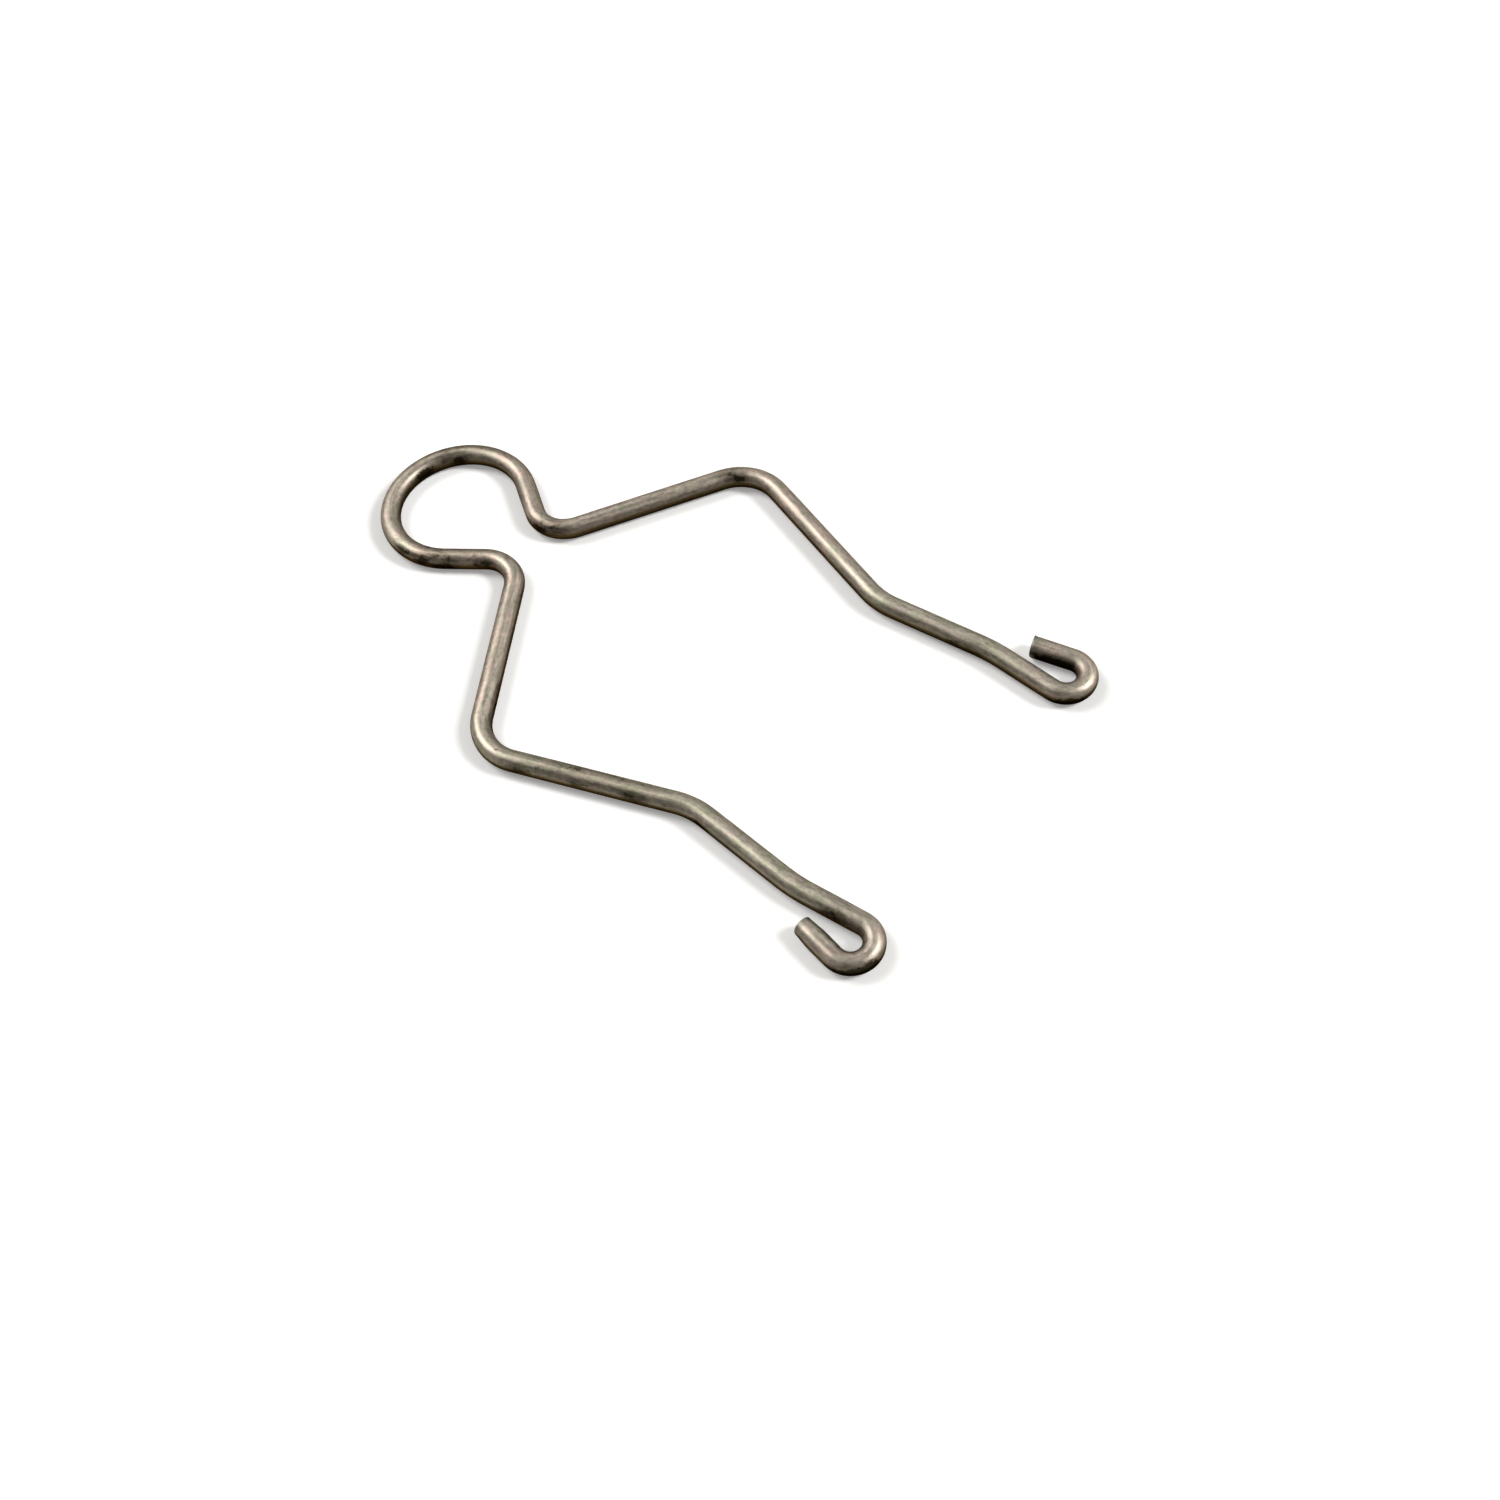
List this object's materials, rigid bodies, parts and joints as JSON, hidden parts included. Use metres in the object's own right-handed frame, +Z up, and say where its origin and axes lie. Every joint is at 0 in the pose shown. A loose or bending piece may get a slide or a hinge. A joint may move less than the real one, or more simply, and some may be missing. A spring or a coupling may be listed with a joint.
{
  "type": "retaining clip",
  "caption": "Flat wire retaining clip: an open loop that snaps round a post, sprung arms that spread and close in, and a small outward hook at each end.",
  "frame": {"origin": "on the axis of the loop, on the surface that the clip lies on", "axes": "+X from the loop to the hooks along the clip's centre line, +Y towards the left arm as seen from the loop, +Z up, square to the plane of the clip"},
  "size_m": [0.0708, 0.0408, 0.002],
  "materials": {
    "spring_wire": "satin drawn wire"
  },
  "bodies": {
    "root": {"clip_wire": "spring_wire"}
  },
  "joints": []
}
